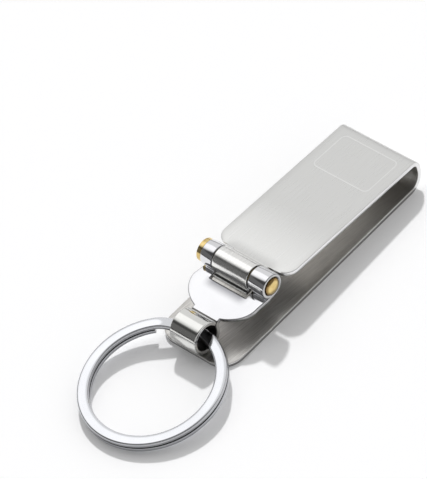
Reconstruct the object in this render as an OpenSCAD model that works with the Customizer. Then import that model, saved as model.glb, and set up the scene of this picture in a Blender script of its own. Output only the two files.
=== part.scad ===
// Belt key clip in sprung stainless steel, lying on its back.
// The origin is the middle of the flat outer face of the back leaf.
// +X runs along the hinge pin, +Y towards the bend and +Z towards the front leaf.
// All lengths are in millimetres and all angles in degrees.

/* [Clip strip] */
// Width of the steel strip
strip_w = 20; // [14:0.5:30]
// Thickness of the steel strip
strip_t = 1; // [0.8:0.05:1.2]
// Straight length of the back leaf, from its free end to the bend
back_len = 56.2; // [54:0.2:70]
// Corner radius at the free end of the back leaf
back_corner_r = 4.8; // [2:0.2:6]
// Outer radius of the wide lower part of the bend
bend_r = 4.2; // [4:0.1:5]
// Outer radius of the tight upper part of the bend
crown_r = 2; // [1.6:0.1:2.4]
// Height of the straight stretch between the two parts of the bend
bend_rise = 1.05; // [0.6:0.05:1.6]
// Length of the front leaf, from the bend to its free end
front_len = 37.8; // [34:0.2:44]
// Angle by which the front leaf opens away from the back leaf
front_rise = 3.3; // [2:0.1:5]
// Corner radius at the free end of the front leaf
front_corner_r = 3.2; // [1.5:0.1:4]

/* [Hinge pin] */
// Diameter of the brass pin
pin_d = 3.6; // [3:0.1:4]
// Radial running clearance of the pin in the centre knuckle
pin_clear = 0.05; // [0.02:0.01:0.1]
// Amount by which each end knuckle grips the pin, on the radius
pin_grip = 0.01; // [0.005:0.005:0.02]
// Distance from the free end of the front leaf to the pin axis
pin_ahead = 3.6; // [3.5:0.05:4]
// Height of the pin axis above the line of the front leaf's outer face
pin_lift = 0.1; // [0:0.05:0.3]
// Diameter of the small domed head at the right end
head_d = 3.7; // [3.65:0.05:3.9]
// Height of the small head over the end of its knuckle
head_h = 0.75; // [0.6:0.05:1.2]
// Height of the straight side of the small head
head_rim_h = 0.15; // [0.1:0.05:0.3]
// Diameter of the large head at the left end
large_head_d = 5.1; // [4.8:0.1:5.2]
// Height of the large head over the end of its knuckle
large_head_h = 1.5; // [1.4:0.05:1.7]
// Height of the straight side of the large head
large_head_rim_h = 1.1; // [0.9:0.05:1.2]

/* [Centre knuckle] */
// Distance from each side of the strip to the tongue that is rolled over the pin
tongue_margin = 5.3; // [4.8:0.1:6]
// Radius of the hollow where the tongue leaves the front leaf
tongue_hollow_r = 1.1; // [0.8:0.05:1.4]
// Depth by which that hollow cuts into the leaf and the roll
hollow_bite = 0.02; // [0.01:0.01:0.04]
// Gap between the end of the tongue and the keeper
tongue_end_gap = 0.1; // [0.05:0.01:0.2]
// Thickness of the keeper strip
keeper_t = 0.8; // [0.6:0.05:0.9]
// Distance from each end of the roll to the keeper strip
keeper_margin = 0.2; // [0:0.05:1]
// Reach of the keeper in front of the pin axis
keeper_nose = 3.3; // [3.1:0.05:3.4]
// Reach of the keeper behind the pin axis
keeper_tail = 11.5; // [9:0.1:14]
// Place behind the pin axis where the keeper starts to rise
keeper_rise_start = 2.2; // [2:0.05:2.4]
// Place behind the pin axis where the keeper meets the front leaf
keeper_rise_end = 3.9; // [3.7:0.05:4.4]

/* [Hinge plate] */
// Thickness of the hinge plate
plate_t = 0.95; // [0.7:0.05:1]
// Distance from the right side of the strip to the right end of the knuckles
knuckle_margin = 0.75; // [0.5:0.05:1.2]
// Amount by which the left knuckle is shorter than the right one
knuckle_short = 1.15; // [0:0.05:1.2]
// Gap between neighbouring knuckles
knuckle_gap = 0.3; // [0.2:0.05:0.5]
// Gap between the rolled end of a knuckle and the plate
roll_end_gap = 0.15; // [0.1:0.01:0.2]
// Chamfer at the mouth of each end knuckle
mouth_chamfer = 0.3; // [0.2:0.05:0.4]
// Distance from the pin axis to the front edge of the notch
notch_reach = 4.15; // [4.1:0.05:4.5]
// Distance from each side of the strip to the widest place of the plate
plate_margin = 1.2; // [0.8:0.1:2]
// Distance from the pin axis to the widest place of the plate
plate_mid = 4.9; // [4.4:0.1:5.6]
// Length of the rounded end of the plate, from its widest place
plate_round = 6.4; // [5.5:0.1:6.8]
// Distance from the pin axis to where the knuckle sides turn in
shoulder = 2.2; // [2.1:0.1:2.6]
// Width of the neck and of the ring loop
loop_w = 7; // [5:0.1:8]
// Inner radius of the ring loop
loop_in_r = 2.75; // [2.7:0.05:3]
// Distance from the pin axis to where the plate bends down into the loop
loop_bend = 11.2; // [10.8:0.1:11.6]
// Radius under the bend into the loop
loop_bend_r = 0.3; // [0.2:0.05:0.5]
// Direction in which the rolled end of the loop stops, over the back of the loop
loop_end = 20; // [19:1:30]
// Depth of the hollow in the rolled end of the loop
loop_hollow = 0.5; // [0.3:0.02:0.7]
// Length of the straight stretch of the rolled end on each side of the hollow
loop_hollow_margin = 0.6; // [0.4:0.1:1.2]
// Gap between the loop and the back leaf where it rests
rest_gap = 0.03; // [0.02:0.01:0.05]

/* [Split ring] */
// Outer diameter of the split ring
ring_d = 31.1; // [30:0.1:32]
// Radial width of the flat wire
wire_w = 2.5; // [2.2:0.05:2.7]
// Thickness of the flat wire
wire_t = 1.18; // [1:0.02:1.2]
// Gap between the two turns of the ring
turn_gap = 0.05; // [0.03:0.01:0.08]
// Width of the chamfer on each edge of the wire
wire_chamfer = 0.22; // [0.1:0.02:0.3]
// Angle taken by the step from the lower turn to the upper one
step_angle = 26; // [20:1:40]
// Angle between each end of the wire and the step
step_gap_angle = 1.5; // [1:0.5:4]
// Direction of the step, round the ring from +X
step_at = 116; // [112:1:140]
// Tilt of the ring from the back leaf to the floor
ring_tilt = 5.7; // [5.4:0.05:6]
// Distance by which the wire sits behind the middle of the loop
ring_offset = 0.55; // [0.2:0.05:0.6]
// Distance of the middle of the ring to the right of the middle of the clip
ring_shift = 0.6; // [0:0.1:0.8]

/* [Hidden] */
fine = 96;
ring_step_deg = 5;
edge_step_deg = 6;
full_turn = 360;
half_turn = full_turn / 2;
quarter_turn = full_turn / 4;
wedge_parts = 3;
overrun = strip_t;

// The bend, in the plane across the strip
bend_y = back_len / 2;
leaf_y = bend_y + bend_r - crown_r;
leaf_z = bend_r + bend_rise + crown_r;
leaf_slope = tan(front_rise);
leaf_end_y = leaf_y - front_len;

// The pin, in the plane across the strip
pin_r = pin_d / 2;
bore_r = pin_r + pin_clear;
pin_y = leaf_end_y - pin_ahead;
pin_z = leaf_z + (leaf_y - pin_y) * leaf_slope + pin_lift;

// The centre knuckle, round the pin
tongue_w = strip_w - 2 * tongue_margin;
keeper_w = tongue_w - 2 * keeper_margin;
tongue_r = bore_r + strip_t;
hollow_reach = tongue_r + tongue_hollow_r - hollow_bite;
hollow_z = tongue_hollow_r - hollow_bite - pin_lift - hollow_reach * leaf_slope;
hollow_y = sqrt(pow(hollow_reach, 2) - pow(hollow_z, 2));
mid_leaf = -pin_lift - strip_t / 2;

// The hinge plate, round the pin
grip_r = pin_r - pin_grip;
knuckle_r = grip_r + plate_t;
plate_half_w = strip_w / 2 - plate_margin;
notch_half = tongue_w / 2 + knuckle_gap;
right_end = strip_w / 2 - knuckle_margin;
left_end = right_end - knuckle_short;
loop_r = loop_in_r + plate_t;
loop_back = loop_bend + loop_bend_r;
loop_u = loop_back + loop_r;
loop_v = -knuckle_r - loop_bend_r;
loop_reach = sqrt(pow(loop_u, 2) + pow(loop_v, 2));
loop_drop = pin_z - strip_t - loop_r - rest_gap;
plate_tilt = asin(loop_drop / loop_reach) - atan2(-loop_v, loop_u);
loop_y = pin_y - loop_u * cos(plate_tilt) - loop_v * sin(plate_tilt);
loop_hollow_half = loop_w / 2 - loop_hollow_margin;
loop_hollow_r = (pow(loop_hollow_half, 2) + pow(loop_hollow, 2)) / (2 * loop_hollow);

// The split ring, resting on the floor and in the loop
ring_r = ring_d / 2;
wire_r = ring_r - wire_w / 2;
turn_rise = (wire_t + turn_gap) / 2;
ring_half_t = turn_rise + wire_t / 2;
ring_z = rest_gap + ring_r * sin(ring_tilt) + ring_half_t * cos(ring_tilt);
ring_y = loop_y + ring_offset - wire_r * cos(ring_tilt);
wire_start = step_angle / 2 + step_gap_angle;
wire_turn = 2 * full_turn - 2 * wire_start;
wire_steps = ceil(wire_turn / ring_step_deg);

// Flat end with rounded corners, from y = 0 to y = len
module rounded_strip(len, width, corner) {
    translate([-width / 2, corner])
        square([width, len - corner]);
    translate([corner - width / 2, 0])
        square([width - 2 * corner, corner]);
    for (side = [-1, 1])
        translate([side * (width / 2 - corner), corner])
            circle(corner, $fn = fine);
}

// Wedge from one direction to another, up to a half turn
module wedge(size, from, to) {
    polygon([
        [0, 0],
        for (i = [0:wedge_parts])
            let (a = from + (to - from) * i / wedge_parts)
            2 * size * [cos(a), sin(a)]
    ]);
}

// Part of a ring, as bent sheet
module bent_sheet(outer, thick, from, to) {
    intersection() {
        difference() {
            circle(outer, $fn = fine);
            circle(outer - thick, $fn = fine);
        }
        wedge(outer, from, to);
    }
}

// Draws a profile in the plane across the strip, with a width along X
module across(width) {
    rotate([90, 0, 90])
        linear_extrude(width, center = true)
            children();
}

// Moves to the frame of the hinge plate, with its zero at the pin and y towards the loop
module at_plate() {
    translate([0, pin_y, pin_z])
        rotate([plate_tilt, 0, 0])
            mirror([0, 1, 0])
                children();
}

// Height of the outer face of the front leaf at a place along the clip
function leaf_top(y) = leaf_z + (leaf_y - y) * leaf_slope;

// The bend, the front leaf and the sheet as far as the middle of the pin
module front_profile() {
    translate([bend_y, bend_r])
        bent_sheet(bend_r, strip_t, -quarter_turn, 0);
    translate([bend_y + bend_r - strip_t, bend_r])
        square([strip_t, bend_rise]);
    translate([leaf_y, bend_r + bend_rise])
        bent_sheet(crown_r, strip_t, 0, quarter_turn);
    polygon([
        [leaf_y, leaf_z],
        [leaf_y, leaf_z - strip_t],
        [pin_y, leaf_top(pin_y) - strip_t],
        [pin_y, leaf_top(pin_y)]
    ]);
}

// The roll over the pin, with its hollow behind and its straight end in front
module roll_profile() {
    intersection() {
        circle(tongue_r, $fn = fine);
        translate([0, mid_leaf])
            square([tongue_r, tongue_r - mid_leaf]);
    }
    intersection() {
        circle(tongue_r, $fn = fine);
        translate([-tongue_r, 0])
            square(tongue_r);
    }
    translate([-tongue_r, tongue_end_gap - bore_r])
        square([tongue_r, bore_r - tongue_end_gap]);
    difference() {
        polygon([
            [0, mid_leaf],
            [hollow_y, mid_leaf - hollow_y * leaf_slope],
            [hollow_y, hollow_z],
            [0, 0]
        ]);
        translate([hollow_y, hollow_z])
            circle(tongue_hollow_r, $fn = fine);
    }
}

// The hollow of the roll, with the room above its straight end
module roll_bore() {
    circle(bore_r, $fn = fine);
    translate([-bore_r, -tongue_r])
        square([bore_r, tongue_r]);
}

// What is cut from the strip beside the tongue, with the free corners of the leaf, from above
module beside_tongue() {
    reach = pin_ahead + tongue_r + overrun;
    for (side = [0, 1])
        mirror([side, 0])
            difference() {
                translate([tongue_w / 2, -reach])
                    square([strip_w / 2 - tongue_w / 2 + overrun, reach + front_corner_r]);
                square([strip_w / 2 - front_corner_r, front_corner_r]);
                translate([strip_w / 2 - front_corner_r, front_corner_r])
                    circle(front_corner_r, $fn = fine);
            }
}

module clip_body() {
    color([0.76, 0.76, 0.75]) {
        translate([0, -back_len / 2, 0])
            linear_extrude(strip_t)
                rounded_strip(back_len, strip_w, back_corner_r);
        difference() {
            across(strip_w)
                difference() {
                    union() {
                        front_profile();
                        translate([pin_y, pin_z])
                            roll_profile();
                    }
                    translate([pin_y, pin_z])
                        roll_bore();
                }
            translate([0, leaf_end_y, leaf_z - strip_t])
                linear_extrude(pin_z)
                    beside_tongue();
        }
    }
}

module knuckle_keeper() {
    rise_start_y = pin_y + keeper_rise_start;
    rise_end_y = pin_y + keeper_rise_end;
    tail_y = pin_y + keeper_tail;
    color([0.66, 0.66, 0.65])
        across(keeper_w)
            polygon([
                [pin_y - keeper_nose, pin_z - bore_r],
                [rise_start_y, pin_z - bore_r],
                [rise_end_y, leaf_top(rise_end_y) - strip_t],
                [tail_y, leaf_top(tail_y) - strip_t],
                [tail_y, leaf_top(tail_y) - strip_t - keeper_t],
                [rise_end_y, leaf_top(rise_end_y) - strip_t - keeper_t],
                [rise_start_y, pin_z - bore_r - keeper_t],
                [pin_y - keeper_nose, pin_z - bore_r - keeper_t]
            ]);
}

// Outline of the flat part of the plate, from the pin axis to the neck
module plate_outline() {
    polygon([
        [-left_end, 0],
        [-left_end, shoulder],
        for (a = [half_turn:-edge_step_deg:0]) [plate_half_w * cos(a), plate_mid + plate_round * sin(a)],
        [right_end, shoulder],
        [right_end, 0]
    ]);
}

// Rolled sheet round the pin, open by a slit where its end meets the plate
module end_knuckle_profile() {
    difference() {
        circle(knuckle_r, $fn = fine);
        circle(grip_r, $fn = fine);
        translate([0, -grip_r])
            square([knuckle_r, roll_end_gap]);
    }
}

// The neck, its bend and the roll of the loop
module loop_profile() {
    translate([plate_mid, -knuckle_r])
        square([loop_bend - plate_mid, plate_t]);
    translate([loop_bend, loop_v])
        bent_sheet(plate_t + loop_bend_r, plate_t, 0, quarter_turn);
    translate([loop_u, loop_v]) {
        bent_sheet(loop_r, plate_t, half_turn, full_turn);
        bent_sheet(loop_r, plate_t, 0, half_turn - loop_end);
    }
}

module hinge_plate() {
    color([0.86, 0.86, 0.87])
        at_plate()
            difference() {
                union() {
                    translate([0, 0, -knuckle_r])
                        linear_extrude(plate_t)
                            intersection() {
                                plate_outline();
                                translate([-right_end, 0])
                                    square([2 * right_end, loop_bend]);
                            }
                    translate([(right_end + notch_half) / 2, 0, 0])
                        across(right_end - notch_half)
                            end_knuckle_profile();
                    translate([-(left_end + notch_half) / 2, 0, 0])
                        across(left_end - notch_half)
                            end_knuckle_profile();
                    across(loop_w)
                        loop_profile();
                }
                translate([-notch_half, -overrun, -knuckle_r - overrun])
                    cube([2 * notch_half, notch_reach + overrun, 2 * overrun + plate_t]);
                translate([right_end, 0, 0])
                    rotate([0, 90, 0])
                        translate([0, 0, -mouth_chamfer])
                            cylinder(mouth_chamfer + overrun, grip_r, grip_r + mouth_chamfer + overrun, $fn = fine);
                translate([0, loop_u, loop_v])
                    rotate([90 - loop_end, 0, 0])
                        translate([0, 0, loop_in_r - overrun])
                            linear_extrude(loop_r)
                                intersection() {
                                    translate([0, loop_hollow - loop_hollow_r])
                                        circle(loop_hollow_r, $fn = fine);
                                    translate([-loop_w, 0])
                                        square([2 * loop_w, loop_hollow]);
                                }
            }
}

// Turned head with a straight side and a domed top, on z = 0
module pin_head(radius, height, side) {
    dome_h = height - side;
    dome_r = (pow(radius, 2) + pow(dome_h, 2)) / (2 * dome_h);
    rotate_extrude($fn = fine)
        intersection() {
            translate([0, height - dome_r])
                circle(dome_r, $fn = fine);
            square([radius, height]);
        }
}

module hinge_pin() {
    // The shaft runs on inside both heads, so that pin and heads stay one solid at every width
    root = head_rim_h / 2;
    color([0.80, 0.66, 0.33])
        at_plate()
            rotate([0, 90, 0]) {
                translate([0, 0, -left_end - root])
                    cylinder(left_end + right_end + 2 * root, pin_r, pin_r, $fn = fine);
                translate([0, 0, right_end])
                    pin_head(head_d / 2, head_h, head_rim_h);
                translate([0, 0, -left_end])
                    mirror([0, 0, 1])
                        pin_head(large_head_d / 2, large_head_h, large_head_rim_h);
            }
}

// Height of the wire over the middle of the ring, by its turn from the start
function turn_height(a) =
    let (from_step = a + wire_start - full_turn)
    let (share = max(-1, min(1, 2 * from_step / step_angle)))
    turn_rise * sin(90 * share);

function wire_section() = [
    [-wire_w / 2 + wire_chamfer, -wire_t / 2],
    [wire_w / 2 - wire_chamfer, -wire_t / 2],
    [wire_w / 2, wire_chamfer - wire_t / 2],
    [wire_w / 2, wire_t / 2 - wire_chamfer],
    [wire_w / 2 - wire_chamfer, wire_t / 2],
    [-wire_w / 2 + wire_chamfer, wire_t / 2],
    [-wire_w / 2, wire_t / 2 - wire_chamfer],
    [-wire_w / 2, wire_chamfer - wire_t / 2]
];

module split_ring() {
    section = wire_section();
    sides = len(section);
    turns = [for (i = [0:wire_steps]) wire_turn * i / wire_steps];
    points = [
        for (a = turns, p = section)
            let (dir = step_at + wire_start + a)
            [(wire_r + p.x) * cos(dir), (wire_r + p.x) * sin(dir), p.y + turn_height(a)]
    ];
    faces = concat(
        [[for (k = [0:sides - 1]) k]],
        [for (i = [0:wire_steps - 1], k = [0:sides - 1])
            let (next = (k + 1) % sides)
            [i * sides + next, i * sides + k, (i + 1) * sides + k]],
        [for (i = [0:wire_steps - 1], k = [0:sides - 1])
            let (next = (k + 1) % sides)
            [i * sides + next, (i + 1) * sides + k, (i + 1) * sides + next]],
        [[for (k = [sides - 1:-1:0]) wire_steps * sides + k]]
    );
    color([0.80, 0.80, 0.82])
        translate([ring_shift, ring_y, ring_z])
            rotate([ring_tilt, 0, 0])
                polyhedron(points, faces, convexity = 4);
}

clip_body();
knuckle_keeper();
hinge_plate();
hinge_pin();
split_ring();
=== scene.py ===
import math

import bmesh
import bpy
from mathutils import Matrix, Vector


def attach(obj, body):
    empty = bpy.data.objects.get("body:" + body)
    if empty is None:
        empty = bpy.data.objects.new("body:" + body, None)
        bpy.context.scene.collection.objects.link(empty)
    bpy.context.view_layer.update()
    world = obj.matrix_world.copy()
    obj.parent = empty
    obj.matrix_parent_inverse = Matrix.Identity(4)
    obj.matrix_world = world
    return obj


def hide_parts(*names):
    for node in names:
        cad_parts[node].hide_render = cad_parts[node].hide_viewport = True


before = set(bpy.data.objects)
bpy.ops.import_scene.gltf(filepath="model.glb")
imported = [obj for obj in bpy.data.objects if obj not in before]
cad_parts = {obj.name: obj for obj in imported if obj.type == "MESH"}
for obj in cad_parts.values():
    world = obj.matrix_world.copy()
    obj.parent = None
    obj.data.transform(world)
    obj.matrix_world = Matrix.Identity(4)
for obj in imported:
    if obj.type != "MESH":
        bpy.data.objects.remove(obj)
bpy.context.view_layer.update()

MM = 0.001

# Sizes in millimetres and angles in degrees, with places as in the frame
# The strip: back leaf, bend and front leaf
STRIP_HALF = 10.0
STRIP_T = 1.0
BACK_END_Y = -28.1
BACK_CORNER = 4.8
BEND_Y = 28.1
BEND_R = 4.2
CROWN_R = 2.0
BEND_RISE = 1.05
LEAF_Y = 30.3
LEAF_Z = 7.25
LEAF_END_Y = -7.5
FRONT_CORNER = 3.2
FRONT_ANGLE = 3.3
FRONT_SLOPE = math.tan(math.radians(FRONT_ANGLE))

# The pin's middle line, and the tongue of the front leaf that is rolled over the pin
PIN_Y = -11.1
PIN_Z = 9.7371
PIN_R = 1.8
PIN_LIFT = 0.1
BORE_R = 1.85
BORE_START = 1.42
TONGUE_HALF = 4.7
TONGUE_R = 2.85
TONGUE_DROP = 1.75
HOLLOW_R = 1.1
HOLLOW_Y = 3.857
HOLLOW_Z = 0.753

# The keeper, with its stations along Y counted from the pin
KEEPER_HALF = 4.5
KEEPER_T = 0.8
KEEPER_NOSE = -3.3
KEEPER_NOSE_LENGTH = 1.5
KEEPER_RISE_START = 2.2
KEEPER_RISE_END = 3.9
KEEPER_TAIL = 11.5

# The pin's heads: radius, height and height of the straight rim. The shaft has a further ring of
# corners at SHAFT_RING from each head
SMALL_HEAD = (1.85, 0.75, 0.15)
LARGE_HEAD = (2.55, 1.5, 1.1)
SHAFT_RING = 0.5

# The plate: its knuckles, and its outline along its own length from the pin
PLATE_T = 0.95
PLATE_TILT = 7.536
KNUCKLE_R = 2.74
GRIP_R = 1.79
ROLL_END_V = -1.64
ROLL_BOTTOM = 270
MOUTH = 0.3
RIGHT_END = 9.25
LEFT_END = 8.1
SHOULDER = 2.2
NOTCH_HALF = 5.0
NOTCH_REACH = 4.15
NOTCH_STATIONS = (1.15, SHOULDER, 3.2, NOTCH_REACH)
PLATE_HALF = 8.8
PLATE_MID = 4.9
PLATE_ROUND = 6.4

# The loop rolled from the plate's neck. Its free end is hollowed in the middle
LOOP_HALF = 3.5
LOOP_R = 3.7
LOOP_BEND = 11.2
LOOP_BEND_R = 0.3
LOOP_SWEEP = 340.0
LOOP_HOLLOW = 0.5
LOOP_HOLLOW_HALF = 2.9

# The ring: a flat wire of two turns with one step. It is kept a little inside the frame's box
RING_D = 31.1
RING_INSIDE = 0.01
RING_TILT = 5.7
RING_CENTRE = (0.6, -39.449, 2.773)
WIRE_W = 2.5
WIRE_T = 1.18
WIRE_ROUND = 0.42
WIRE_TURNS = 2
TURN_GAP = 0.05
STEP_ANGLE = 26.0
STEP_GAP = 1.5
STEP_AT = 116.0

# Rounding of the sheets' borders: its radius, the most of a sheet's width that it may take, and the
# shares of it at which the grid's lines lie. EDGE_ROUND is for the keeper and the pin
STRIP_RIM = 0.12
PLATE_RIM = 0.2
RIM_MOST = 0.25
RIM_SHARES = (1.0, 0.5, 0.134)
EDGE_ROUND = 0.1

# Steps of the curves and of the straight lengths between them
CORNER_STEPS = 18
BEND_STEPS = 24
LEAF_STEPS = 14
HOLLOW_STEPS = 10
BARREL_STEPS = 48
DROP_STEPS = 4
KNUCKLE_STEPS = 72
PLATE_STEPS = 24
LOOP_BEND_STEPS = 10
LOOP_STEPS = 96
DOME_STEPS = 16
PIN_STEPS = 96
WIRE_ROUND_POINTS = 7
WIRE_STATIONS = 420

# Corners this close are joined, edges this short are closed, and edges over an angle are kept sharp
CORNER_JOIN = 0.002
SHORT_EDGE = 0.001
WIRE_JOIN = 0.0005
SHARP_ANGLE = 40
WIRE_SHARP_ANGLE = 60

# Sides of a sheet, as its grid and its materials count them
OUTER, INNER, BORDER = range(3)

# The front leaf's surface, in metres: the plain frame line, and how the leaf's end eases down and up
# again beside the tongue. EASE_FALL and LIFT_RISE give the height for a distance squared
FRAME_MIDDLE = (0.0, 0.02415)
FRAME_HALF = (0.0074, 0.00505)
FRAME_CORNER = 0.0012
FRAME_LINE = (0.000056, 0.00016)
FRAME_DEPTH = 0.00001
GRAIN_DEPTH = 0.000002
EASE_Y = 0.0075
EASE_FALL = -5.0
LIFT_Y = -0.0048
LIFT_RISE = 36.0
LIFT_ACROSS = (0.0046, 0.0078)

# The scene: white table, lamp, and the camera solved from the photo. Its places are in metres
TABLE_HALF = 3
TABLE_Z = -0.00002
TABLE_GLOW = 0.1
LAMP_STRENGTH = 2.03
LAMP_SPREAD = 3.5
TO_LAMP = (-0.63, 0.72, 1.0)
LENS = 338.2
SENSOR = 36
CAMERA_PLACE = (0.5003, -0.3644, 0.6656)
CAMERA_RIGHT = (0.7213, 0.6629, -0.2007)
CAMERA_UP = (-0.4019, 0.6366, 0.6581)
CAMERA_AHEAD = (-0.5640, 0.3940, -0.7256)


# Helpers for node trees
def add(tree, kind, **settings):
    item = tree.nodes.new(kind)
    for key, value in settings.items():
        setattr(item, key, value)
    return item


def feed(tree, socket, value):
    """Set a number or a colour on a socket, or link another socket to it."""
    if isinstance(value, tuple):
        socket.default_value = (*value, 1)
    elif isinstance(value, (int, float)):
        socket.default_value = value
    else:
        tree.links.new(value, socket)


def maths(tree, operation, *values):
    item = add(tree, "ShaderNodeMath", operation=operation)
    for socket, value in zip(item.inputs, values):
        feed(tree, socket, value)
    return item.outputs[0]


def squared(tree, value):
    return maths(tree, "MULTIPLY", value, value)


def slant(tree, first, second):
    """Length of the slanting line over two square sides."""
    return maths(tree, "SQRT", maths(tree, "ADD", squared(tree, first), squared(tree, second)))


def product(tree, first, *others):
    for value in others:
        first = maths(tree, "MULTIPLY", first, value)
    return first


def spread(tree, value, low, high, to_low, to_high, kind="LINEAR"):
    """Turn a value's range into another range, with its ends held."""
    item = add(tree, "ShaderNodeMapRange", interpolation_type=kind)
    tree.links.new(value, item.inputs["Value"])
    for key, number in zip(("From Min", "From Max", "To Min", "To Max"), (low, high, to_low, to_high)):
        item.inputs[key].default_value = number
    return item.outputs[0]


def smooth_spread(tree, value, low, high, to_low, to_high):
    return spread(tree, value, low, high, to_low, to_high, "SMOOTHSTEP")


def split_place(tree, place):
    """X, Y and Z of a place."""
    item = add(tree, "ShaderNodeSeparateXYZ")
    tree.links.new(place, item.inputs[0])
    return tuple(item.outputs)


def joined_place(tree, *values):
    item = add(tree, "ShaderNodeCombineXYZ")
    for socket, value in zip(item.inputs, values):
        tree.links.new(value, socket)
    return item.outputs[0]


def untilted(tree, place, tilt, centre):
    """X, Y and Z counted from a piece's centre, with the piece's tilt about X taken off."""
    back = math.radians(-tilt)
    turn = add(tree, "ShaderNodeMapping")
    turn.inputs["Location"].default_value = -(Matrix.Rotation(back, 3, "X") @ (Vector(centre) * MM))
    turn.inputs["Rotation"].default_value = (back, 0, 0)
    tree.links.new(place, turn.inputs["Vector"])
    return split_place(tree, turn.outputs[0])


def blend_colour(tree, factor, first, second):
    item = add(tree, "ShaderNodeMix", data_type="RGBA")
    tree.links.new(factor, item.inputs[0])
    feed(tree, item.inputs[6], first)
    feed(tree, item.inputs[7], second)
    return item.outputs[2]


def noise(tree, place, scale, detail, roughness=0.5):
    item = add(tree, "ShaderNodeTexNoise")
    item.inputs["Detail"].default_value = detail
    item.inputs["Roughness"].default_value = roughness
    tree.links.new(place, item.inputs["Vector"])
    feed(tree, item.inputs["Scale"], scale)
    return item.outputs["Fac"]


# Wear and grain that several finishes share
def new_group(name, sizes, results):
    """A node group that takes a place and some sizes, with the sockets it is given and has to fill."""
    group = bpy.data.node_groups.new(name, "ShaderNodeTree")
    group.interface.new_socket("Place", in_out="INPUT", socket_type="NodeSocketVector")
    for names, way in ((sizes, "INPUT"), (results, "OUTPUT")):
        for socket in names:
            group.interface.new_socket(socket, in_out=way, socket_type="NodeSocketFloat")
    return group, add(group, "NodeGroupInput").outputs, add(group, "NodeGroupOutput").inputs


def brushed_grain_group():
    """Hair lines along Y and Z: a streak value, a slow cloud value and a height for a bump."""
    sizes = ("Lines across", "Lines along", "Cloud scale")
    group, given, result = new_group("brushed_grain", sizes, ("Streak", "Cloud", "Height"))
    x, y, z = split_place(group, given["Place"])
    stretched = joined_place(
        group,
        maths(group, "MULTIPLY", x, given["Lines across"]),
        maths(group, "MULTIPLY", y, given["Lines along"]),
        maths(group, "MULTIPLY", z, given["Lines along"]),
    )
    hair = noise(group, stretched, 1, 4, 0.62)
    cloud = noise(group, given["Place"], given["Cloud scale"], 3)
    group.links.new(spread(group, hair, 0.3, 0.7, 0, 1), result["Streak"])
    group.links.new(spread(group, cloud, 0.3, 0.7, 0, 1), result["Cloud"])
    group.links.new(hair, result["Height"])
    return group


def handling_marks_group():
    """Soft smudges and a few hair scratches, as on polished steel that has been handled."""
    sizes = ("Smudge scale", "Scratch scale")
    group, given, result = new_group("handling_marks", sizes, ("Smudge", "Scratch"))
    smudge = noise(group, given["Place"], given["Smudge scale"], 4)
    turn = add(group, "ShaderNodeMapping")
    turn.inputs["Rotation"].default_value = (0.3, 0.2, 0.9)
    turn.inputs["Scale"].default_value = (1, 0.05, 0.4)
    group.links.new(given["Place"], turn.inputs["Vector"])
    scratch = noise(group, turn.outputs[0], given["Scratch scale"], 2)
    group.links.new(spread(group, smudge, 0.35, 0.7, 0, 1), result["Smudge"])
    group.links.new(spread(group, scratch, 0.66, 0.74, 0, 1), result["Scratch"])
    return group


BRUSHED = brushed_grain_group()
MARKS = handling_marks_group()


# Finishes
def new_material(name):
    """A metal, with its tree, its shader and the place on the piece."""
    made = bpy.data.materials.new(name)
    made.use_nodes = True
    tree = made.node_tree
    shader = tree.nodes["Principled BSDF"]
    shader.inputs["Metallic"].default_value = 1
    return made, tree, shader, add(tree, "ShaderNodeTexCoord").outputs["Object"]


def use_group(tree, group, place, **sizes):
    """Place a group with its own sizes, and give its results."""
    item = add(tree, "ShaderNodeGroup", node_tree=group)
    tree.links.new(place, item.inputs["Place"])
    for key, value in sizes.items():
        item.inputs[key.replace("_", " ").capitalize()].default_value = value
    return item.outputs


def tint(tree, shader, factor, colour):
    """Blend a colour over the base colour that the shader has so far."""
    base = shader.inputs["Base Color"]
    tree.links.new(blend_colour(tree, factor, base.links[0].from_socket, colour), base)


def add_bump(tree, shader, height, strength, distance):
    bump = add(tree, "ShaderNodeBump")
    bump.inputs["Strength"].default_value = strength
    bump.inputs["Distance"].default_value = distance
    tree.links.new(height, bump.inputs["Height"])
    tree.links.new(bump.outputs[0], shader.inputs["Normal"])


def frame_line(tree, place):
    """1 on the thin rounded frame line of the front leaf, seen from above, else 0."""
    x, y, _ = split_place(tree, place)
    reach = []
    for value, middle, half in zip((x, y), FRAME_MIDDLE, FRAME_HALF):
        off = maths(tree, "ABSOLUTE", maths(tree, "SUBTRACT", value, middle))
        reach.append(maths(tree, "SUBTRACT", off, half - FRAME_CORNER))
    outside = slant(tree, *(maths(tree, "MAXIMUM", part, 0.0) for part in reach))
    inside = maths(tree, "MINIMUM", maths(tree, "MAXIMUM", *reach), 0.0)
    distance = maths(tree, "SUBTRACT", maths(tree, "ADD", outside, inside), FRAME_CORNER)
    return spread(tree, maths(tree, "ABSOLUTE", distance), *FRAME_LINE, 1, 0)


def pressed_height(tree, place):
    """Height in metres by which the front leaf eases down towards its end and up again into the tongue."""
    x, y, _ = split_place(tree, place)
    down = maths(tree, "MAXIMUM", maths(tree, "SUBTRACT", EASE_Y, y), 0.0)
    eased = maths(tree, "MULTIPLY", squared(tree, down), EASE_FALL)
    up = maths(tree, "MAXIMUM", maths(tree, "SUBTRACT", LIFT_Y, y), 0.0)
    beside_tongue = smooth_spread(tree, maths(tree, "ABSOLUTE", x), *LIFT_ACROSS, LIFT_RISE, 0.0)
    return maths(tree, "ADD", eased, maths(tree, "MULTIPLY", squared(tree, up), beside_tongue))


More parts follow.
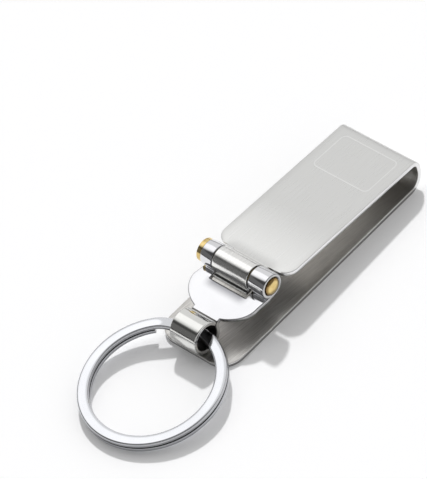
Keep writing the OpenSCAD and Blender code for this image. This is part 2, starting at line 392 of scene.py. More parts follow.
def satin_leaf():
    """Satin outside of the strip, with the front leaf's frame line and eased end."""
    made, tree, shader, place = new_material("satin_leaf_steel")
    grain = use_group(tree, BRUSHED, place, lines_across=7000, lines_along=130, cloud_scale=90)
    engraved = frame_line(tree, place)
    colour = blend_colour(tree, grain["Streak"], (0.71, 0.71, 0.695), (0.77, 0.77, 0.76))
    tree.links.new(colour, shader.inputs["Base Color"])
    tint(tree, shader, spread(tree, grain["Cloud"], 0, 1, 0, 0.5), (0.74, 0.74, 0.73))
    tint(tree, shader, engraved, (0.88, 0.88, 0.87))
    rough = spread(tree, grain["Streak"], 0, 1, 0.26, 0.34)
    engraved_rough = maths(tree, "ADD", rough, maths(tree, "MULTIPLY", engraved, 0.15))
    tree.links.new(engraved_rough, shader.inputs["Roughness"])
    hair = maths(tree, "MULTIPLY", grain["Height"], GRAIN_DEPTH)
    fine = maths(tree, "SUBTRACT", hair, maths(tree, "MULTIPLY", engraved, FRAME_DEPTH))
    add_bump(tree, shader, maths(tree, "ADD", fine, pressed_height(tree, place)), 1.0, 1.0)
    return made


def inner_leaf():
    """Brushed inside of the strip, with painted light towards the bend and painted shade inside it."""
    made, tree, shader, place = new_material("brushed_inner_steel")
    turned = add(tree, "ShaderNodeMapping")
    turned.inputs["Rotation"].default_value = (0, 0, math.radians(7))
    tree.links.new(place, turned.inputs["Vector"])
    grain = use_group(tree, BRUSHED, turned.outputs[0], lines_across=5200, lines_along=210, cloud_scale=70)
    colour = blend_colour(tree, grain["Streak"], (0.52, 0.505, 0.48), (0.80, 0.785, 0.76))
    tree.links.new(colour, shader.inputs["Base Color"])
    y = split_place(tree, place)[1]
    # Painted light that grows towards the bend, and painted shade inside the bend
    painted_light_to_bend = smooth_spread(tree, y, -0.012, 0.008, 0.0, 0.45)
    shaded = smooth_spread(tree, y, 0.021, 0.031, 0.0, 0.55)
    tint(tree, shader, painted_light_to_bend, (0.95, 0.94, 0.92))
    tint(tree, shader, shaded, (0.30, 0.29, 0.27))
    tree.links.new(spread(tree, grain["Cloud"], 0, 1, 0.3, 0.42), shader.inputs["Roughness"])
    add_bump(tree, shader, grain["Height"], 0.35, 0.00005)
    return made


def satin_barrel():
    """Bright satin of the rolled tongue."""
    made, tree, shader, place = new_material("satin_barrel_steel")
    grain = use_group(tree, BRUSHED, place, lines_across=2600, lines_along=420, cloud_scale=160)
    colour = blend_colour(tree, grain["Streak"], (0.84, 0.835, 0.82), (0.94, 0.935, 0.92))
    tree.links.new(colour, shader.inputs["Base Color"])
    tree.links.new(spread(tree, grain["Cloud"], 0, 1, 0.17, 0.24), shader.inputs["Roughness"])
    add_bump(tree, shader, grain["Height"], 0.1, 0.00003)
    return made


def polished(name, dark, light, rough_low, rough_high, smudge_scale=120, scratch_scale=900):
    """Polished metal between a dark and a light colour, with smudges and hair scratches."""
    made, tree, shader, place = new_material(name)
    marks = use_group(tree, MARKS, place, smudge_scale=smudge_scale, scratch_scale=scratch_scale)
    tree.links.new(blend_colour(tree, marks["Smudge"], light, dark), shader.inputs["Base Color"])
    rough = spread(tree, marks["Smudge"], 0, 1, rough_low, rough_high)
    scratched = maths(tree, "ADD", rough, maths(tree, "MULTIPLY", marks["Scratch"], 0.06))
    tree.links.new(scratched, shader.inputs["Roughness"])
    add_bump(tree, shader, marks["Scratch"], 0.05, 0.00002)
    return made, tree, shader, place


def strip_edge():
    """Polished edge of the strip, with painted shade along the back leaf below its upper border."""
    light, dark = (0.86, 0.86, 0.86), (0.70, 0.70, 0.70)
    made, tree, shader, place = polished("polished_edge_steel", dark, light, 0.14, 0.22)
    # Painted shade: the back leaf's edge is darkened near the table
    painted_edge_shade = smooth_spread(tree, split_place(tree, place)[2], 0.00062, 0.00082, 0.8, 0.0)
    tint(tree, shader, painted_edge_shade, (0.16, 0.155, 0.15))
    return made


def inside_plate(tree, place):
    """In metres: how far inside the border of plate and knuckles, before the notch, and off the middle."""
    x, back, _ = untilted(tree, place, PLATE_TILT, (0, PIN_Y, PIN_Z))
    u = maths(tree, "MULTIPLY", back, -1.0)
    off = maths(tree, "ABSOLUTE", x)
    right = spread(tree, u, SHOULDER * MM, PLATE_MID * MM, RIGHT_END * MM, PLATE_HALF * MM)
    left = spread(tree, u, SHOULDER * MM, PLATE_MID * MM, LEFT_END * MM, PLATE_HALF * MM)
    on_right = maths(tree, "GREATER_THAN", x, 0.0)
    limit = maths(tree, "ADD", left, maths(tree, "MULTIPLY", on_right, maths(tree, "SUBTRACT", right, left)))
    past_middle = maths(tree, "DIVIDE", maths(tree, "SUBTRACT", u, PLATE_MID * MM), PLATE_ROUND * MM)
    along_share = maths(tree, "MAXIMUM", past_middle, 0.0)
    across_share = maths(tree, "DIVIDE", off, PLATE_HALF * MM)
    share = slant(tree, across_share, along_share)
    rounded = maths(tree, "SUBTRACT", limit, maths(tree, "MULTIPLY", share, PLATE_HALF * MM))
    neck = maths(tree, "SUBTRACT", LOOP_HALF * MM, off)
    outline = maths(tree, "MAXIMUM", rounded, neck)
    before_notch = maths(tree, "SUBTRACT", u, NOTCH_REACH * MM)
    notch = maths(tree, "MAXIMUM", before_notch, maths(tree, "SUBTRACT", off, NOTCH_HALF * MM))
    return maths(tree, "MINIMUM", outline, notch), before_notch, off


def plate_face():
    """Polished plate, with painted shade at its border and in front of the notch, under the barrel."""
    made, tree, shader, place = polished("plate_chrome", (0.78, 0.78, 0.80), (0.83, 0.83, 0.85), 0.06, 0.11)
    inside, before_notch, off = inside_plate(tree, place)
    in_front = smooth_spread(tree, before_notch, 0.0, 0.0026, 1.0, 0.0)
    behind = smooth_spread(tree, before_notch, -0.0003, 0.0, 0.0, 1.0)
    middle = smooth_spread(tree, off, 0.0035, 0.0062, 1.0, 0.0)
    border = smooth_spread(tree, inside, 0.00006, 0.00026, 1.0, 0.0)
    # Painted shade in front of the notch, under the barrel
    tint(tree, shader, product(tree, in_front, behind, middle), (0.30, 0.30, 0.32))
    # Painted shade along the border of plate and knuckles, as a dark outline
    tint(tree, shader, border, (0.33, 0.33, 0.34))
    return made


def plate_edge():
    """Border of the plate, left as it was sheared."""
    light, dark = (0.66, 0.66, 0.66), (0.50, 0.50, 0.50)
    return polished("sheared_plate_edge", dark, light, 0.16, 0.24, smudge_scale=500)[0]


def loop_face():
    """Polished loop, with painted shade low down on its roll."""
    made, tree, shader, place = polished("loop_chrome", (0.74, 0.74, 0.72), (0.84, 0.84, 0.81), 0.07, 0.13)
    # Painted shade: the lower part of the roll is darkened
    low = smooth_spread(tree, split_place(tree, place)[2], 0.0022, 0.0046, 0.75, 0.0)
    tint(tree, shader, low, (0.16, 0.16, 0.155))
    return made


def loop_bore():
    """Inside of the loop, rougher, with its colour darkened as painted shade."""
    # Dark colours as painted shade inside the loop
    return polished("painted_shade_loop_bore", (0.16, 0.155, 0.15), (0.30, 0.295, 0.285), 0.22, 0.32)[0]


def keeper_face():
    """Keeper strip, painted dark as shade where it lies under the pin, with a painted highlight at its nose.
    """
    # Dark colours as painted shade under the pin
    light, dark = (0.20, 0.20, 0.20), (0.10, 0.10, 0.10)
    made, tree, shader, place = polished("keeper_strip_steel", dark, light, 0.12, 0.2)
    # Painted highlight at the nose
    nose = smooth_spread(tree, split_place(tree, place)[1], -0.01425, -0.0141, 1.0, 0.0)
    tint(tree, shader, nose, (0.88, 0.88, 0.87))
    return made


def ring_wire():
    """Polished wire with softly crowned faces, walls darkened as a painted reflection and a painted shade
    line between its turns.
    """
    made, tree, shader, place = polished("ring_chrome", (0.76, 0.77, 0.80), (0.82, 0.83, 0.86), 0.07, 0.12)
    across, forward, over = untilted(tree, place, RING_TILT, RING_CENTRE)
    offset = maths(tree, "SUBTRACT", slant(tree, across, forward), (RING_D - WIRE_W) / 2 * MM)
    crown = maths(tree, "MULTIPLY", squared(tree, offset), -80.0)
    scratch = shader.inputs["Normal"].links[0].from_node.inputs["Height"].links[0].from_socket
    add_bump(tree, shader, maths(tree, "ADD", crown, maths(tree, "MULTIPLY", scratch, 0.000001)), 1.0, 1.0)
    # Painted reflection darkens the walls, and painted shade darkens the line between the turns
    wall = smooth_spread(tree, maths(tree, "ABSOLUTE", offset), 0.00106, 0.0012, 0.0, 0.5)
    painted_seam_shade = smooth_spread(tree, maths(tree, "ABSOLUTE", over), 0.0001, 0.00032, 1.0, 0.0)
    tint(tree, shader, wall, (0.16, 0.16, 0.17))
    tint(tree, shader, painted_seam_shade, (0.05, 0.05, 0.055))
    return made


def brass_pin():
    """Turned brass, bright on the domes, with painted brown shade towards the rim of the right one."""
    light, dark = (0.90, 0.71, 0.34), (0.62, 0.44, 0.16)
    made, tree, shader, place = polished("turned_brass", dark, light, 0.13, 0.2, smudge_scale=420)
    x, y, z = split_place(tree, place)
    back = maths(tree, "SUBTRACT", y, PIN_Y * MM)
    rise = maths(tree, "SUBTRACT", z, PIN_Z * MM)
    # Painted shade: the right dome is browner and darker towards its rim
    painted_rim_shade = smooth_spread(tree, slant(tree, back, rise), 0.0012, 0.00175, 0.0, 0.85)
    at_right = smooth_spread(tree, x, 0.0085, 0.009, 0.0, 1.0)
    tint(tree, shader, maths(tree, "MULTIPLY", painted_rim_shade, at_right), (0.22, 0.12, 0.035))
    return made


def floor_white():
    """White table top that glows a little, so that it stays white in the picture and in reflections."""
    made = bpy.data.materials.new("white_table")
    made.use_nodes = True
    tree = made.node_tree
    shader = tree.nodes["Principled BSDF"]
    shader.inputs["Base Color"].default_value = (0.9, 0.9, 0.905, 1)
    shader.inputs["Roughness"].default_value = 0.6
    shader.inputs["Specular IOR Level"].default_value = 0.1
    glow = add(tree, "ShaderNodeEmission")
    glow.inputs["Color"].default_value = (1, 1, 1, 1)
    ray = add(tree, "ShaderNodeLightPath").outputs
    mirrored = maths(tree, "MAXIMUM", ray["Is Glossy Ray"], ray["Is Transmission Ray"])
    seen = maths(tree, "MAXIMUM", ray["Is Camera Ray"], mirrored)
    tree.links.new(maths(tree, "MULTIPLY", seen, TABLE_GLOW), glow.inputs["Strength"])
    both = add(tree, "ShaderNodeAddShader")
    tree.links.new(shader.outputs[0], both.inputs[0])
    tree.links.new(glow.outputs[0], both.inputs[1])
    tree.links.new(both.outputs[0], tree.nodes["Material Output"].inputs["Surface"])
    return made


# Helpers for meshes
def link_object(name, data):
    made = bpy.data.objects.new(name, data)
    bpy.context.scene.collection.objects.link(made)
    return made


def dressed(name, mesh, *finishes):
    """A piece from its mesh, with its finishes in the order in which the mesh counts them."""
    for finish in finishes:
        mesh.materials.append(finish)
    return link_object(name, mesh)


def between(first, last, steps):
    return [first + (last - first) * k / steps for k in range(steps + 1)]


def on_circle(centre, radius, degrees):
    angle = math.radians(degrees)
    return (centre[0] + radius * math.cos(angle), centre[1] + radius * math.sin(angle))


def arc_pairs(centre, outer, inner, start, stop, steps):
    """Pairs of points on an outer and an inner arc, in the plane across the clip."""
    turns = between(start, stop, steps)
    return [(on_circle(centre, outer, turn), on_circle(centre, inner, turn)) for turn in turns]


def finish_mesh(work, mesh, sharp_angle):
    """Turn the faces outwards, smooth them up to an angle, and write the work into its mesh."""
    bmesh.ops.recalc_face_normals(work, faces=work.faces)
    for face in work.faces:
        face.smooth = True
    for edge in work.edges:
        edge.smooth = len(edge.link_faces) == 2 and edge.calc_face_angle() < math.radians(sharp_angle)
    work.to_mesh(mesh)
    work.free()
    return mesh


def round_edges(piece, segments):
    bevel = piece.modifiers.new("rounded_edges", "BEVEL")
    bevel.width = EDGE_ROUND * MM
    bevel.segments = segments
    bevel.limit_method = "ANGLE"
    bevel.angle_limit = math.radians(SHARP_ANGLE)
    bevel.harden_normals = True


def rim_places(inner, outer, rim):
    """Places just inside a sheet's two borders, close together where these are rounded."""
    rim = min(rim, RIM_MOST * (outer - inner))
    past_inner = [inner + rim * share for share in reversed(RIM_SHARES)]
    return past_inner, [outer - rim * share for share in RIM_SHARES]


def middle_columns(half, rim, reach, steps):
    """Columns over a sheet's middle, close at both borders and even between, up to a share of the half."""
    first, last = rim_places(-half, half, rim)
    return [-half] + first + between(-reach * half, reach * half, steps) + last + [half]


def segment_distance(spot, first, second):
    """Distance of a spot from the straight line between two others."""
    run = (second[0] - first[0], second[1] - first[1])
    length = run[0] ** 2 + run[1] ** 2
    share = 0.0
    if length > 0:
        share = max(0.0, min(1.0, ((spot[0] - first[0]) * run[0] + (spot[1] - first[1]) * run[1]) / length))
    return math.hypot(spot[0] - first[0] - share * run[0], spot[1] - first[1] - share * run[1])


def cell_sides(i, j):
    """The four sides of a grid's cell: their two corners, and the cell that lies beyond."""
    ring = [(i, j), (i, j + 1), (i + 1, j + 1), (i + 1, j)]
    return list(zip(ring, ring[1:] + ring[:1], [(i - 1, j), (i, j + 1), (i + 1, j), (i, j - 1)]))


def rim_drops(rows, columns, point, cells, rim):
    """Depth by which each grid corner near a border lies below its face, so that the border is rounded."""
    centre = columns // 2
    middle = [(Vector(point(i, centre, OUTER)) + Vector(point(i, centre, INNER))) / 2 for i in range(rows)]
    along = [0.0]
    for first, second in zip(middle, middle[1:]):
        along.append(along[-1] + (second - first).length)
    flat = {(i, j): (along[i], point(i, j, OUTER)[0]) for i in range(rows) for j in range(columns)}
    near = {}
    for cell in cells:
        for first, second, beside in cell_sides(*cell):
            if beside in cells:
                continue
            a, b = flat[first], flat[second]
            low = [min(pair) - rim for pair in zip(a, b)]
            high = [max(pair) + rim for pair in zip(a, b)]
            for row in (k for k in range(rows) if low[0] < along[k] < high[0]):
                for column in range(columns):
                    spot = flat[row, column]
                    if low[1] < spot[1] < high[1]:
                        gap = segment_distance(spot, a, b)
                        near[row, column] = min(gap, near.get((row, column), rim))
    return {place: rim - math.sqrt(max(0.0, rim ** 2 - (rim - gap) ** 2)) for place, gap in near.items()}


def shell_mesh(name, rows, columns, point, present, material_of, rim=0.0):
    """A closed sheet from a grid of cells, with rounded borders. point(row, column, side) is in mm."""
    work = bmesh.new()
    corners = {}
    cells = {(i, j) for i in range(rows - 1) for j in range(columns - 1) if present(i, j)}
    drops = rim_drops(rows, columns, point, cells, rim) if rim else {}

    def corner(place, side):
        if (place, side) not in corners:
            here = Vector(point(*place, side))
            through = Vector(point(*place, INNER - side)) - here
            here += through.normalized() * drops.get(place, 0.0)
            corners[place, side] = work.verts.new(here * MM)
        return corners[place, side]

    def add_face(cell, places, side):
        face = work.faces.new([corner(place, at) for place, at in places])
        face.material_index = material_of(*cell, side)
        if side == INNER:
            face.normal_flip()

    for cell in sorted(cells):
        sides = cell_sides(*cell)
        for side in (OUTER, INNER):
            add_face(cell, [(first, side) for first, _, _ in sides], side)
        for first, second, beside in sides:
            if beside not in cells:
                wall = [(first, INNER), (second, INNER), (second, OUTER), (first, OUTER)]
                add_face(cell, wall, BORDER)
    bmesh.ops.remove_doubles(work, verts=work.verts, dist=CORNER_JOIN * MM)
    bmesh.ops.dissolve_degenerate(work, edges=work.edges, dist=SHORT_EDGE * MM)
    return finish_mesh(work, bpy.data.meshes.new(name), SHARP_ANGLE)


# Clip strip with its rolled tongue
def leaf_top(y):
    return LEAF_Z + (LEAF_Y - y) * FRONT_SLOPE


def leaf_under(y):
    return leaf_top(y) - STRIP_T


def under_pin(dy):
    """Height of the front leaf's underside over the pin's middle, at a distance along Y from it."""
    return -PIN_LIFT - STRIP_T - dy * FRONT_SLOPE


def corner_turns():
    return [math.radians(angle) for angle in between(0, 90, CORNER_STEPS)]


def leaf_rows():
    """Rows of (outer point, inner point, half width, zone) from the back leaf's free end to the front's."""
    rows = []
    for turn in corner_turns():
        y = BACK_END_Y + BACK_CORNER * (1 - math.cos(turn))
        rows.append(((y, 0), (y, STRIP_T), STRIP_HALF - BACK_CORNER * (1 - math.sin(turn)), "back"))
    for y in between(BACK_END_Y + BACK_CORNER, BEND_Y, LEAF_STEPS)[1:]:
        rows.append(((y, 0), (y, STRIP_T), STRIP_HALF, "back"))
    bend = arc_pairs((BEND_Y, BEND_R), BEND_R, BEND_R - STRIP_T, -90, 0, BEND_STEPS)[1:]
    crown_middle = (LEAF_Y, BEND_R + BEND_RISE)
    crown = arc_pairs(crown_middle, CROWN_R, CROWN_R - STRIP_T, 0, 90 - FRONT_ANGLE, BEND_STEPS)
    for outer, inner in bend + crown:
        rows.append((outer, inner, STRIP_HALF, "bend"))
    for y in between(LEAF_Y, LEAF_END_Y + FRONT_CORNER, LEAF_STEPS)[1:]:
        rows.append(((y, leaf_top(y)), (y, leaf_under(y)), STRIP_HALF, "front"))
    for turn in corner_turns()[1:]:
        y = LEAF_END_Y + FRONT_CORNER * (1 - math.sin(turn))
        half = STRIP_HALF - FRONT_CORNER * (1 - math.cos(turn))
        rows.append(((y, leaf_top(y)), (y, leaf_under(y)), half, "front"))
    return rows


def tongue_rows():
    """Rows of the tongue: out of the leaf's edge, over the pin and down in front of it."""
    rows = []
    edge = LEAF_END_Y - PIN_Y
    first = math.degrees(math.atan2(under_pin(edge) + STRIP_T - HOLLOW_Z, edge - HOLLOW_Y))
    last = math.degrees(math.atan2(-HOLLOW_Z, -HOLLOW_Y))
    hollow = between(first, last, HOLLOW_STEPS)[1:]
    for turn, dy in zip(hollow, between(edge, BORE_START, HOLLOW_STEPS)[1:]):
        y, z = on_circle((HOLLOW_Y, HOLLOW_Z), HOLLOW_R, turn)
        inner = (PIN_Y + dy, PIN_Z + under_pin(dy))
        rows.append(((PIN_Y + y, PIN_Z + z), inner, TONGUE_HALF, "barrel"))
    lift = math.degrees(math.atan2(HOLLOW_Z, HOLLOW_Y))
    bore = math.degrees(math.atan2(under_pin(BORE_START), BORE_START))
    for over, inside in zip(between(lift, 180, BARREL_STEPS)[1:], between(bore, 180, BARREL_STEPS)[1:]):
        outer = on_circle((PIN_Y, PIN_Z), TONGUE_R, over)
        inner = on_circle((PIN_Y, PIN_Z), BORE_R, inside)
        rows.append((outer, inner, TONGUE_HALF, "barrel"))
    for z in between(PIN_Z, PIN_Z - TONGUE_DROP, DROP_STEPS)[1:]:
        rows.append(((PIN_Y - TONGUE_R, z), (PIN_Y - BORE_R, z), TONGUE_HALF, "barrel"))
    return rows


def clip_strip():
    """Strip of sprung steel: both leaves, bend and tongue. Finishes: face, inside, edge, barrel."""
    face, inside, edge, barrel = range(4)
    leaves = leaf_rows()
    rows = leaves + tongue_rows()
    last_wide = len(leaves) - 1
    tongue = middle_columns(TONGUE_HALF, STRIP_RIM, 0.85, 6)

    def column_places(half):
        side = [TONGUE_HALF + (half - TONGUE_HALF) * share for share in (0.3, 0.65)]
        side += rim_places(TONGUE_HALF, half, STRIP_RIM)[1] + [half]
        return [-x for x in reversed(side)] + tongue + side

    places = [column_places(row[2]) for row in rows]
    count = len(places[0])
    beside = (count - len(tongue)) // 2

    def point(i, j, side):
        return (places[i][j], *rows[i][side])

    def present(i, j):
        return i < last_wide or beside <= j < count - beside - 1

    def material_of(i, j, side):
        rolled = rows[i + 1][3] == "barrel"
        if side == INNER:
            return inside
        if rolled:
            return barrel
        return edge if side == BORDER else face

    return shell_mesh("clip_strip", len(rows), count, point, present, material_of, STRIP_RIM)


def keeper_strip():
    """Narrow strip, flat under the pin and raised behind it to lie against the front leaf."""
    nose, tail = PIN_Y + KEEPER_NOSE, PIN_Y + KEEPER_TAIL
    rise_end = PIN_Y + KEEPER_RISE_END
    low = PIN_Z - BORE_R
    path = [(y, low) for y in (nose, nose + KEEPER_NOSE_LENGTH, PIN_Y + KEEPER_RISE_START)]
    path += [(y, leaf_under(y)) for y in (rise_end, (rise_end + tail) / 2, tail)]
    shares = between(-1, 1, 4)

    def point(i, j, side):
        y, z = path[i]
        return (KEEPER_HALF * shares[j], y, z - side * KEEPER_T)

    return shell_mesh("keeper_strip", len(path), len(shares), point, lambda i, j: True, lambda i, j, side: 0)


# Hinge plate with its knuckles and loop
def from_plate(x, u, v):
    """A place from the plate's own lengths: u along it from the pin, v over it."""
    cos, sin = math.cos(math.radians(PLATE_TILT)), math.sin(math.radians(PLATE_TILT))
    return (x, PIN_Y - u * cos - v * sin, PIN_Z - u * sin + v * cos)


def plate_half_at(u, knuckle_end):
    if u <= SHOULDER:
        return knuckle_end
    if u <= PLATE_MID:
        return knuckle_end + (PLATE_HALF - knuckle_end) * (u - SHOULDER) / (PLATE_MID - SHOULDER)
    share = min(1.0, (u - PLATE_MID) / PLATE_ROUND)
    return max(LOOP_HALF, PLATE_HALF * math.sqrt(1 - share * share))


def plate_stations():
    """Distances from the pin along the flat plate, up to the neck and the start of the loop's bend."""
    neck = PLATE_MID + PLATE_ROUND * math.sqrt(1 - (LOOP_HALF / PLATE_HALF) ** 2)
    top = math.asin((neck - PLATE_MID) / PLATE_ROUND)
    rounded = [PLATE_MID + PLATE_ROUND * math.sin(turn) for turn in between(0, top, PLATE_STEPS)[1:]]
    past_notch = rim_places(NOTCH_REACH, PLATE_MID, PLATE_RIM)[0]
    return [*NOTCH_STATIONS, *past_notch, PLATE_MID, *rounded, LOOP_BEND]


def hinge_plate():
    """Plate with both knuckles and the loop, in one grid. Finishes: face, loop, edge, bore."""
    face, loop_outside, edge, bore = range(4)
    radii = (KNUCKLE_R, GRIP_R)
    roll_starts = [math.degrees(math.asin(ROLL_END_V / radius)) for radius in radii]
    rolls = [between(start, ROLL_BOTTOM, KNUCKLE_STEPS) for start in roll_starts]
    stations = plate_stations()
    flat_start = KNUCKLE_STEPS + 1
    bend_start = flat_start + len(stations)
    loop_start = bend_start + LOOP_BEND_STEPS
    notch_row = flat_start + stations.index(NOTCH_REACH)
    neck_row = bend_start - 2
    bend_middle = (LOOP_BEND, -KNUCKLE_R - LOOP_BEND_R)
    loop_middle = (LOOP_BEND + LOOP_BEND_R + LOOP_R, bend_middle[1])
    hollow_r = (LOOP_HOLLOW_HALF ** 2 + LOOP_HOLLOW ** 2) / (2 * LOOP_HOLLOW)
    loop = middle_columns(LOOP_HALF, PLATE_RIM, 0.93, 14)

    def side_places(i, knuckle_end):
        if i < flat_start:
            half = knuckle_end
        elif i < bend_start:
            half = plate_half_at(stations[i - flat_start], knuckle_end)
        else:
            half = LOOP_HALF
        start = LOOP_HALF + (NOTCH_HALF - LOOP_HALF) * min(1.0, (half - LOOP_HALF) / (LEFT_END - LOOP_HALF))
        first, last = rim_places(start, half, PLATE_RIM)
        return [start] + first + [(start + half) / 2] + last + [half]

    def places(i):
        return [-x for x in reversed(side_places(i, LEFT_END))] + loop + side_places(i, RIGHT_END)

    table = [places(i) for i in range(loop_start + LOOP_STEPS)]
    count = len(table[0])
    wing = (count - len(loop)) // 2

    def point(i, j, side):
        x = table[i][j]
        if i < flat_start:
            radius = radii[side]
            if side == INNER and j >= count - wing:
                radius += max(0.0, MOUTH - (RIGHT_END - x))
            return from_plate(x, *on_circle((0, 0), radius, rolls[side][i]))
        if i < bend_start:
            return from_plate(x, stations[i - flat_start], -radii[side])
        if i < loop_start:
            turn = 90 - 90 * (i - bend_start + 1) / LOOP_BEND_STEPS
            return from_plate(x, *on_circle(bend_middle, LOOP_BEND_R + side * PLATE_T, turn))
        depth = 0.0
        if abs(x) < LOOP_HOLLOW_HALF:
            depth = max(0.0, math.sqrt(hollow_r ** 2 - x * x) - hollow_r + LOOP_HOLLOW)
        sweep = LOOP_SWEEP - math.degrees(depth / LOOP_R)
        turn = 180 + sweep * ((i - loop_start + 1) / LOOP_STEPS)
        return from_plate(x, *on_circle(loop_middle, LOOP_R - side * PLATE_T, turn))

    def present(i, j):
        if i < notch_row:
            return j < wing - 1 or j >= count - wing
        if i < neck_row:
            return True
        return wing <= j < count - wing - 1

    def material_of(i, j, side):
        if i >= bend_start:
            return bore if side == INNER else loop_outside
        return edge if side == BORDER else face

    return shell_mesh("hinge_plate_chrome", len(table), count, point, present, material_of, PLATE_RIM)


# Turned pin
def head_profile(end, size, direction):
    """Points (x, radius) of a domed head from its top down to the shaft."""
    radius, height, rim = size
    dome_h = height - rim
    dome_r = (radius ** 2 + dome_h ** 2) / (2 * dome_h)
    profile = []
    for turn in between(0, math.asin(radius / dome_r), DOME_STEPS):
        profile.append((height - dome_r * (1 - math.cos(turn)), dome_r * math.sin(turn)))
    profile += [(0.0, radius), (0.0, PIN_R), (-SHAFT_RING, PIN_R)]
    return [(direction * (end + out), r) for out, r in profile]


def turned_pin():
    """The pin's profile from head to head, turned about its middle line."""
    left_head = head_profile(LEFT_END, LARGE_HEAD, -1)
    profile = head_profile(RIGHT_END, SMALL_HEAD, 1) + [(0.0, PIN_R)] + left_head[::-1]
    turns = [math.tau * k / PIN_STEPS for k in range(PIN_STEPS)]
    work = bmesh.new()
    rings = []
    for x, r in profile:
        ring_turns = turns if r > SHORT_EDGE else [0.0]
        places = [(x, PIN_Y + r * math.cos(turn), PIN_Z + r * math.sin(turn)) for turn in ring_turns]
        rings.append([work.verts.new(Vector(place) * MM) for place in places])
    for first, second in zip(rings, rings[1:]):
        for k in range(PIN_STEPS):
            n = (k + 1) % PIN_STEPS
            corners = [first[k % len(first)], first[n % len(first)]]
            corners += [second[n % len(second)], second[k % len(second)]]
            work.faces.new(list(dict.fromkeys(corners)))
    return finish_mesh(work, bpy.data.meshes.new("hinge_pin_brass"), SHARP_ANGLE)


# Split ring, by geometry nodes
def ring_tree(sizes, material):
    """A flat wire coiled twice, with one step from the lower turn to the upper one."""
    tree = bpy.data.node_groups.new("coiled_wire", "GeometryNodeTree")
    tree.interface.new_socket("Geometry", in_out="OUTPUT", socket_type="NodeSocketGeometry")
    for size in sizes:
        tree.interface.new_socket(size, in_out="INPUT", socket_type="NodeSocketFloat")
    tree.interface.new_socket("Stations", in_out="INPUT", socket_type="NodeSocketInt")
    given = add(tree, "NodeGroupInput").outputs
    result = add(tree, "NodeGroupOutput")

    line = add(tree, "GeometryNodeMeshLine")
    tree.links.new(given["Stations"], line.inputs["Count"])
    index = add(tree, "GeometryNodeInputIndex").outputs[0]
    share = maths(tree, "DIVIDE", index, maths(tree, "SUBTRACT", given["Stations"], 1.0))
    along = maths(tree, "MULTIPLY", share, given["Coil angle"])
    angle = maths(tree, "ADD", along, given["Start angle"])
    from_step = maths(tree, "SUBTRACT", along, maths(tree, "MULTIPLY", given["Coil angle"], 0.5))
    ramp = maths(tree, "DIVIDE", maths(tree, "MULTIPLY", from_step, 2.0), given["Step angle"])
    held = maths(tree, "MAXIMUM", maths(tree, "MINIMUM", ramp, 1.0), -1.0)
    rise = maths(tree, "MULTIPLY", maths(tree, "ADD", given["Wire thickness"], given["Turn gap"]), 0.5)
    height = maths(tree, "MULTIPLY", maths(tree, "SINE", maths(tree, "MULTIPLY", held, math.pi / 2)), rise)
    middle_diameter = maths(tree, "SUBTRACT", given["Ring diameter"], given["Wire width"])
    radius = maths(tree, "MULTIPLY", middle_diameter, 0.5)
    across = maths(tree, "MULTIPLY", radius, maths(tree, "COSINE", angle))
    forward = maths(tree, "MULTIPLY", radius, maths(tree, "SINE", angle))

    moved = add(tree, "GeometryNodeSetPosition")
    tree.links.new(line.outputs[0], moved.inputs["Geometry"])
    tree.links.new(joined_place(tree, across, forward, height), moved.inputs["Position"])
    curve = add(tree, "GeometryNodeMeshToCurve")
    tree.links.new(moved.outputs[0], curve.inputs[0])
    upright = add(tree, "GeometryNodeSetCurveNormal", mode="Z_UP")
    tree.links.new(curve.outputs[0], upright.inputs[0])

    section = add(tree, "GeometryNodeCurvePrimitiveQuadrilateral")
    tree.links.new(given["Wire width"], section.inputs["Width"])
    tree.links.new(given["Wire thickness"], section.inputs["Height"])
    rounded = add(tree, "GeometryNodeFilletCurve", mode="POLY")
    rounded.inputs["Count"].default_value = WIRE_ROUND_POINTS
    tree.links.new(section.outputs[0], rounded.inputs["Curve"])
    tree.links.new(given["Edge rounding"], rounded.inputs["Radius"])

    solid = add(tree, "GeometryNodeCurveToMesh")
    solid.inputs["Fill Caps"].default_value = True
    tree.links.new(upright.outputs[0], solid.inputs["Curve"])
    tree.links.new(rounded.outputs[0], solid.inputs["Profile Curve"])
    realized = add(tree, "GeometryNodeRealizeInstances")
    tree.links.new(solid.outputs[0], realized.inputs[0])
    finish = add(tree, "GeometryNodeSetMaterial")
    finish.inputs["Material"].default_value = material
    tree.links.new(realized.outputs[0], finish.inputs["Geometry"])
    tree.links.new(finish.outputs[0], result.inputs["Geometry"])
    return tree


def split_ring(material):
    """The ring as a plain mesh, tilted in its place through the loop."""
    start = STEP_ANGLE / 2 + STEP_GAP
    sizes = {
        "Ring diameter": (RING_D - RING_INSIDE) * MM,
        "Wire width": WIRE_W * MM,
        "Wire thickness": WIRE_T * MM,
        "Turn gap": TURN_GAP * MM,
        "Edge rounding": WIRE_ROUND * MM,
        "Step angle": math.radians(STEP_ANGLE),
        "Start angle": math.radians(STEP_AT + start),
        "Coil angle": math.radians(360 * WIRE_TURNS - 2 * start),
    }
    piece = link_object("split_ring_chrome", bpy.data.meshes.new("split_ring_seed"))
    coil = piece.modifiers.new("coil", "NODES")
    coil.node_group = ring_tree(sizes, material)
    values = {**sizes, "Stations": WIRE_STATIONS}
    for item in coil.node_group.interface.items_tree:
        if item.in_out == "INPUT":
            coil[item.identifier] = values[item.name]
    evaluated = piece.evaluated_get(bpy.context.evaluated_depsgraph_get())
    mesh = bpy.data.meshes.new_from_object(evaluated)
    piece.modifiers.clear()
    piece.data = mesh
    work = bmesh.new()
    work.from_mesh(mesh)
    bmesh.ops.remove_doubles(work, verts=work.verts, dist=WIRE_JOIN * MM)
    finish_mesh(work, mesh, WIRE_SHARP_ANGLE)
    tilt = Matrix.Rotation(math.radians(RING_TILT), 4, "X")
    mesh.transform(Matrix.Translation(Vector(RING_CENTRE) * MM) @ tilt)
    return piece


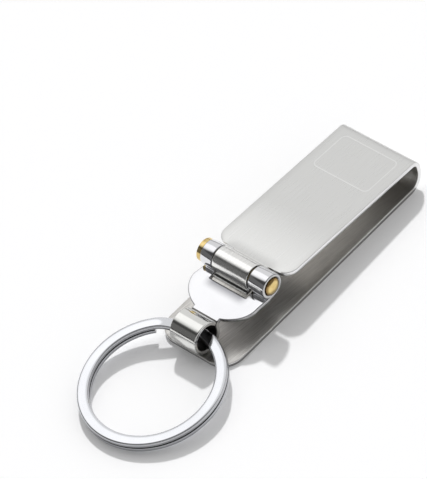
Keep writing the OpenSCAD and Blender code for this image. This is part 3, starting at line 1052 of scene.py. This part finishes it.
# The pieces
clip = dressed("clip_strip", clip_strip(), satin_leaf(), inner_leaf(), strip_edge(), satin_barrel())
keeper = dressed("keeper_strip", keeper_strip(), keeper_face())
round_edges(keeper, 2)
plate = dressed("hinge_plate_chrome", hinge_plate(), plate_face(), loop_face(), plate_edge(), loop_bore())
pin = dressed("hinge_pin_brass", turned_pin(), brass_pin())
round_edges(pin, 3)
ring = split_ring(ring_wire())

for piece, body, node, slot in (
    (clip, "clip", "clip_body", "strip_steel"),
    (keeper, "clip", "knuckle_keeper", "keeper_steel"),
    (plate, "hinged_plate", "hinge_plate", "plate_steel"),
    (pin, "hinged_plate", "hinge_pin", "pin_brass"),
    (ring, "ring", "split_ring", "ring_steel"),
):
    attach(piece, body)
    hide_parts(node)


# Table, lamp, surroundings and camera
def table_top():
    corners = [(x * TABLE_HALF, y * TABLE_HALF, TABLE_Z) for x, y in ((-1, -1), (1, -1), (1, 1), (-1, 1))]
    mesh = bpy.data.meshes.new("table_top")
    mesh.from_pydata(corners, [], [(0, 1, 2, 3)])
    return dressed("table_top", mesh, floor_white())


def key_lamp():
    """Lamp high behind the clip. It isn't seen in reflections."""
    light = bpy.data.lights.new("key_lamp", "SUN")
    light.energy = LAMP_STRENGTH
    light.angle = math.radians(LAMP_SPREAD)
    lamp = link_object("key_lamp", light)
    lamp.rotation_euler = Vector(TO_LAMP).to_track_quat("Z", "Y").to_euler()
    lamp.visible_glossy = False


def studio_world():
    """Soft boxes round the clip, for light and reflections. The camera itself sees plain white."""
    world = bpy.data.worlds.new("studio")
    bpy.context.scene.world = world
    world.use_nodes = True
    tree = world.node_tree
    tree.nodes.clear()
    out = add(tree, "ShaderNodeOutputWorld")
    outward = add(tree, "ShaderNodeTexCoord").outputs["Generated"]
    x, y, z = split_place(tree, outward)

    def towards(aim):
        dot = add(tree, "ShaderNodeVectorMath", operation="DOT_PRODUCT")
        tree.links.new(outward, dot.inputs[0])
        dot.inputs[1].default_value = Vector(aim).normalized()
        return dot.outputs["Value"]

    to_camera_side = towards((0.82, -0.57, 0))
    to_hot_box = towards((-0.564, 0.029, 0.826))
    big_box = product(
        tree,
        smooth_spread(tree, y, -0.5, -0.02, 0.0, 0.74),
        smooth_spread(tree, to_camera_side, 0.08, 0.5, 1.0, 0.0),
        smooth_spread(tree, z, -0.05, 0.25, 0.0, 1.0),
        smooth_spread(tree, x, -0.95, -0.68, 0.4, 1.0),
    )
    hot_edge, hot_core = (math.cos(math.radians(angle)) for angle in (27, 19))
    hot_box = smooth_spread(tree, to_hot_box, hot_edge, hot_core, 0.0, 0.4)
    low_band = product(
        tree,
        smooth_spread(tree, x, -0.4, 0.1, 0.14, 0.45),
        smooth_spread(tree, z, 0.05, 0.15, 0.0, 1.0),
        smooth_spread(tree, z, 0.52, 0.68, 1.0, 0.0),
    )
    room = 0.06
    boxes = maths(tree, "ADD", maths(tree, "ADD", big_box, hot_box), room)
    light = add(tree, "ShaderNodeBackground")
    light.inputs["Color"].default_value = (1, 1, 1, 1)
    tree.links.new(maths(tree, "MAXIMUM", boxes, low_band), light.inputs["Strength"])
    white = add(tree, "ShaderNodeBackground")
    white.inputs["Color"].default_value = (1, 1, 1, 1)
    white.inputs["Strength"].default_value = 1
    pick = add(tree, "ShaderNodeMixShader")
    tree.links.new(add(tree, "ShaderNodeLightPath").outputs["Is Camera Ray"], pick.inputs[0])
    tree.links.new(light.outputs[0], pick.inputs[1])
    tree.links.new(white.outputs[0], pick.inputs[2])
    tree.links.new(pick.outputs[0], out.inputs["Surface"])


def photo_camera():
    """Long lens, in the place and the direction that the photo was solved for."""
    lens = bpy.data.cameras.new("camera")
    lens.lens = LENS
    lens.sensor_width = SENSOR
    lens.sensor_fit = "AUTO"
    camera = link_object("camera", lens)
    right, up, ahead = (Vector(way) for way in (CAMERA_RIGHT, CAMERA_UP, CAMERA_AHEAD))
    turn = Matrix((right, up, -ahead)).transposed().to_4x4()
    camera.matrix_world = Matrix.Translation(CAMERA_PLACE) @ turn
    bpy.context.scene.camera = camera


floor = table_top()
key_lamp()
studio_world()
photo_camera()
bpy.context.scene.view_settings.view_transform = "Standard"
